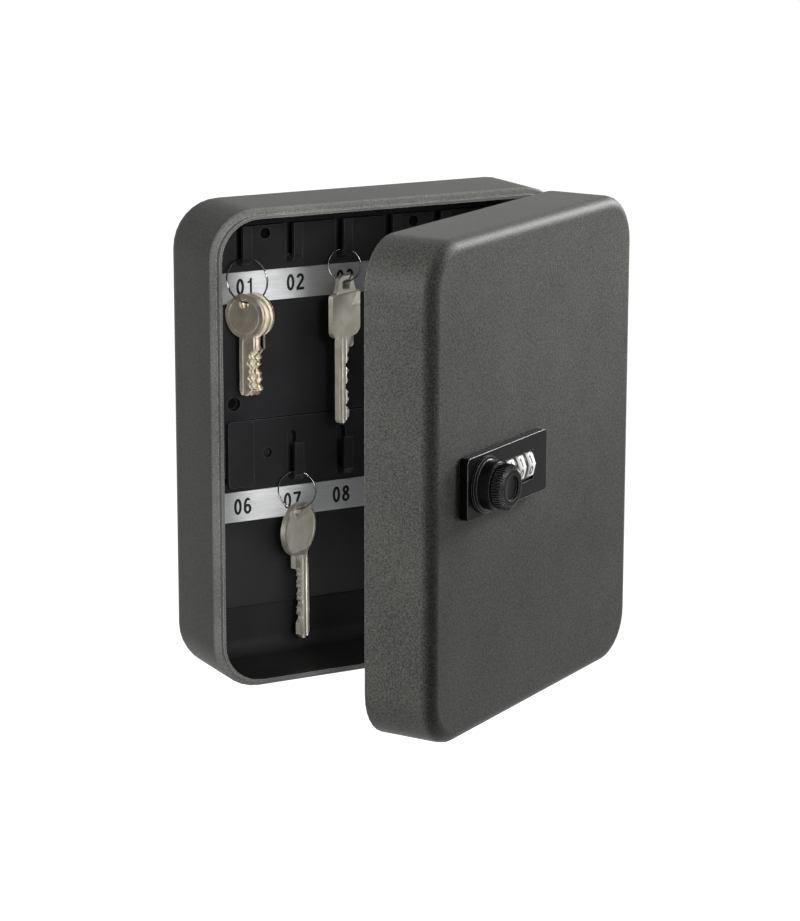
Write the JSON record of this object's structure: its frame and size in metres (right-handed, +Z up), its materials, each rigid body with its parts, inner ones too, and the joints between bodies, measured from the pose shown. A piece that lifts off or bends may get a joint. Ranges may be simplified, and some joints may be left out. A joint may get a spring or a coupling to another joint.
{
  "type": "key cabinet",
  "caption": "Wall key cabinet: a rounded steel case with rows of numbered hooks and a hinged door with a dial lock, shown ajar with keys on some hooks.",
  "frame": {"origin": "centre of the case's flat back, on the wall", "axes": "+Z up, +X to the right as seen from the front, +Y into the wall; the door opens towards -Y"},
  "size_m": [0.1797, 0.1571, 0.2],
  "materials": {
    "powder_coat": "fine-textured anthracite powder coat",
    "black_plastic": "satin moulded plastic",
    "satin_aluminium": "satin anodised with black printed numbers",
    "black_metal": "satin black",
    "white_plastic": "smooth, with black numbers",
    "zinc_steel": "zinc-plated",
    "nickel_silver": "nickel silver, lightly worn",
    "warm_nickel": "nickel silver with a warmer tint, lightly worn"
  },
  "bodies": {
    "case": {"case_shell": "powder_coat", "lower_hook_panel": "black_plastic", "upper_hook_panel": "black_plastic", "lower_number_strip": "satin_aluminium", "upper_number_strip": "satin_aluminium", "panel_rivet_1": "black_plastic", "panel_rivet_2": "black_plastic", "panel_rivet_3": "black_plastic", "panel_rivet_4": "black_plastic", "strike_bracket": "zinc_steel", "hinge_case_leaf": "powder_coat", "hinge_pin": "zinc_steel"},
    "door": {"door_shell": "powder_coat", "hinge_door_leaf": "powder_coat", "lock_body": "black_metal", "lock_rear_cover": "zinc_steel", "cover_screw_1": "zinc_steel", "cover_screw_2": "zinc_steel", "lock_screw_1": "zinc_steel", "lock_screw_2": "zinc_steel", "wheel_axle": "zinc_steel", "locking_bar": "zinc_steel", "detent_spring": "zinc_steel"},
    "knob": {"knob": "black_metal", "spindle": "zinc_steel", "cam": "zinc_steel", "cam_nut": "zinc_steel"},
    "wheel_1": {"number_wheel_1": "white_plastic"},
    "wheel_2": {"number_wheel_2": "white_plastic"},
    "wheel_3": {"number_wheel_3": "white_plastic"},
    "reset": {"reset_button": "white_plastic"},
    "ring_01": {"ring_01": "zinc_steel"},
    "ring_03": {"ring_03": "zinc_steel"},
    "ring_07": {"ring_07": "zinc_steel"},
    "key_01_a": {"key_01_a": "warm_nickel"},
    "key_01_b": {"key_01_b": "warm_nickel"},
    "key_01_c": {"key_01_c": "warm_nickel"},
    "key_03": {"key_03": "nickel_silver"},
    "key_07": {"key_07": "nickel_silver"}
  },
  "joints": [
    {"name": "door_hinge", "type": "hinge", "parent": "case", "child": "door", "pos_m": [0.0857, -0.0427, 0], "axis": [0, 0, 1], "range_deg": [-30.9, 89]},
    {"name": "knob_turn", "type": "hinge", "parent": "door", "child": "knob", "pos_m": [-0.01238, -0.14248, 0.0026], "axis": [0.5135, -0.8581, 0], "range_deg": [-90, 0]},
    {"name": "wheel_1_turn", "type": "hinge", "parent": "door", "child": "wheel_1", "pos_m": [0.00123, -0.12676, 0.0026], "axis": [0.8581, 0.5135, 0], "continuous": true},
    {"name": "wheel_2_turn", "type": "hinge", "parent": "door", "child": "wheel_2", "pos_m": [0.00775, -0.12286, 0.0026], "axis": [0.8581, 0.5135, 0], "continuous": true},
    {"name": "wheel_3_turn", "type": "hinge", "parent": "door", "child": "wheel_3", "pos_m": [0.01427, -0.11896, 0.0026], "axis": [0.8581, 0.5135, 0], "continuous": true},
    {"name": "reset_push", "type": "slide", "parent": "door", "child": "reset", "axis": [0.5135, -0.8581, 0], "range_m": [0, 0.0012], "stiffness_N_per_m": 200},
    {"name": "ring_01_swing", "type": "hinge", "parent": "case", "child": "ring_01", "pos_m": [-0.05189, -0.00836, 0.07441], "axis": [-0.9976, -0.0698, 0], "range_deg": [0, 35]},
    {"name": "ring_03_swing", "type": "hinge", "parent": "case", "child": "ring_03", "pos_m": [-0.0053, -0.00836, 0.07441], "axis": [-0.9397, 0.342, 0], "range_deg": [0, 35]},
    {"name": "ring_07_swing", "type": "hinge", "parent": "case", "child": "ring_07", "pos_m": [-0.02859, -0.00836, -0.01939], "axis": [-0.9613, 0.2756, 0], "range_deg": [0, 35]},
    {"name": "key_01_a_swing", "type": "hinge", "parent": "ring_01", "child": "key_01_a", "pos_m": [-0.0539, -0.01403, 0.05613], "axis": [-0.8192, -0.5736, 0], "range_deg": [0, 20]},
    {"name": "key_01_b_swing", "type": "hinge", "parent": "ring_01", "child": "key_01_b", "pos_m": [-0.0515, -0.01395, 0.05584], "axis": [-0.8192, -0.5736, 0], "range_deg": [0, 20]},
    {"name": "key_01_c_swing", "type": "hinge", "parent": "ring_01", "child": "key_01_c", "pos_m": [-0.04911, -0.01369, 0.05613], "axis": [-0.8192, -0.5736, 0], "range_deg": [0, 20]},
    {"name": "key_03_swing", "type": "hinge", "parent": "ring_03", "child": "key_03", "pos_m": [-0.00676, -0.01238, 0.06077], "axis": [-0.9397, 0.342, 0], "range_deg": [0, 25]},
    {"name": "key_07_swing", "type": "hinge", "parent": "ring_07", "child": "key_07", "pos_m": [-0.03026, -0.01418, -0.03474], "axis": [-0.9613, 0.2756, 0], "range_deg": [0, 25]}
  ]
}
